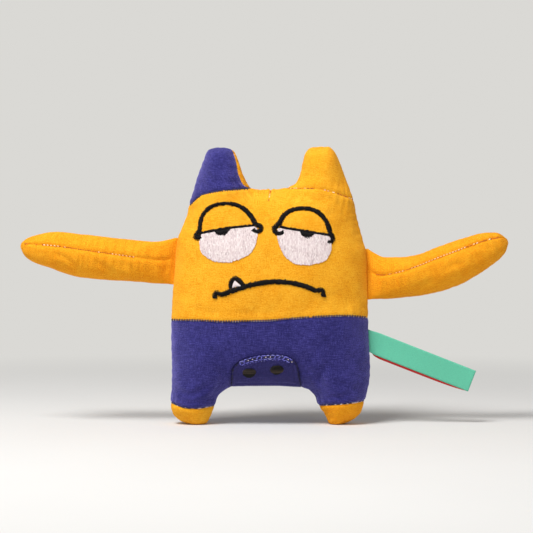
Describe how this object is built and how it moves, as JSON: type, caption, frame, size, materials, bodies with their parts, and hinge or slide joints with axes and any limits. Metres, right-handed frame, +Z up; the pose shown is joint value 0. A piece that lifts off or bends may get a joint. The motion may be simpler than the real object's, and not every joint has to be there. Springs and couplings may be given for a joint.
{
  "type": "plush monster toy",
  "caption": "Stuffed cloth monster toy that stands on short legs, with arms and horns that flop, a ribbon tag at its side and a squeaker in its belly.",
  "frame": {"origin": "on the floor, below the middle of the span from arm tip to arm tip, in the plane of the side seams", "axes": "+X along the arms, to the right of someone who faces the toy; -Y out of the face; +Z up"},
  "size_m": [0.3308, 0.0504, 0.1883],
  "materials": {
    "yellow_cloth": "plain woven cotton canvas, matt",
    "blue_cloth": "plain woven cotton canvas with lighter slubs, matt",
    "felt": "matt felt with a zigzag stitched edge",
    "black_thread": "satin-stitched embroidery thread",
    "white_thread": "fill-stitched embroidery thread",
    "ribbon": "woven polyester ribbon, low sheen",
    "stuffing": "loose polyester fibre",
    "plastic": "milky blow-moulded polyethylene"
  },
  "bodies": {
    "root": {"head_front": "yellow_cloth", "head_back": "yellow_cloth", "foot_left_front": "yellow_cloth", "foot_left_back": "yellow_cloth", "foot_right_front": "yellow_cloth", "foot_right_back": "yellow_cloth", "trousers_front": "blue_cloth", "trousers_back": "blue_cloth", "nose_patch": "felt", "eye_line_left": "black_thread", "eye_line_right": "black_thread", "lid_line_left": "black_thread", "lid_line_right": "black_thread", "pupil_left": "black_thread", "pupil_right": "black_thread", "nostril_left": "black_thread", "nostril_right": "black_thread", "mouth_line": "black_thread", "fang_line": "black_thread", "eye_white_left": "white_thread", "eye_white_right": "white_thread", "fang": "white_thread", "body_stuffing_front": "stuffing", "body_stuffing_back": "stuffing", "leg_left_stuffing": "stuffing", "leg_right_stuffing": "stuffing", "squeaker_bladder": "plastic"},
    "arm_left_root": {"arm_left_root_stuffing": "stuffing"},
    "arm_left": {"arm_left_upper": "yellow_cloth", "arm_left_lower": "yellow_cloth", "arm_left_stuffing": "stuffing"},
    "horn_left": {"horn_left_front": "blue_cloth", "horn_left_back": "yellow_cloth", "horn_left_stuffing": "stuffing"},
    "arm_right_root": {"arm_right_root_stuffing": "stuffing"},
    "arm_right": {"arm_right_upper": "yellow_cloth", "arm_right_lower": "yellow_cloth", "arm_right_stuffing": "stuffing"},
    "horn_right": {"horn_right_front": "yellow_cloth", "horn_right_back": "blue_cloth", "horn_right_stuffing": "stuffing"},
    "tag": {"side_tag": "ribbon"},
    "whistle": {"squeaker_whistle": "plastic", "squeaker_reed": "plastic"}
  },
  "joints": [
    {"name": "arm_left_swing", "type": "hinge", "parent": "root", "child": "arm_left_root", "pos_m": [-0.0622, 0, 0.11075], "axis": [0.0994, 0, 0.995], "range_deg": [-60, 60], "stiffness_Nm_per_rad": 0.02, "deforming": ["arm_left_upper", "arm_left_lower"]},
    {"name": "arm_left_lift", "type": "hinge", "parent": "arm_left_root", "child": "arm_left", "pos_m": [-0.07566, 0, 0.10977], "axis": [0, 1, 0], "range_deg": [-25, 25], "stiffness_Nm_per_rad": 0.08, "springref_deg": 1.15, "deforming": ["arm_left_upper", "arm_left_lower"]},
    {"name": "arm_right_swing", "type": "hinge", "parent": "root", "child": "arm_right_root", "pos_m": [0.07132, 0, 0.10183], "axis": [-0.0427, 0, 0.9991], "range_deg": [-60, 60], "stiffness_Nm_per_rad": 0.02, "deforming": ["arm_right_upper", "arm_right_lower"]},
    {"name": "arm_right_lift", "type": "hinge", "parent": "arm_right_root", "child": "arm_right", "pos_m": [0.08372, 0, 0.09901], "axis": [0, -1, 0], "range_deg": [-25, 25], "stiffness_Nm_per_rad": 0.08, "springref_deg": 1.15, "deforming": ["arm_right_upper", "arm_right_lower"]},
    {"name": "horn_left_flop", "type": "hinge", "parent": "root", "child": "horn_left", "pos_m": [-0.05212, 0, 0.15311], "axis": [0.9659, 0, 0.2589], "range_deg": [-22, 22], "stiffness_Nm_per_rad": 0.02, "deforming": ["horn_left_front", "horn_left_back"]},
    {"name": "horn_right_flop", "type": "hinge", "parent": "root", "child": "horn_right", "pos_m": [0.01552, 0, 0.16286], "axis": [0.9848, 0, -0.1737], "range_deg": [-22, 22], "stiffness_Nm_per_rad": 0.02, "deforming": ["horn_right_front", "horn_right_back"]},
    {"name": "tag_flap", "type": "hinge", "parent": "root", "child": "tag", "pos_m": [0.0722, 0, 0.055], "axis": [0, 0, 1], "range_deg": [-75, 75], "stiffness_Nm_per_rad": 0.0005},
    {"name": "squeaker_press", "type": "slide", "parent": "root", "child": "whistle", "axis": [0, 1, 0], "range_m": [0, 0.007], "stiffness_N_per_m": 300, "deforming": ["squeaker_bladder"]}
  ]
}
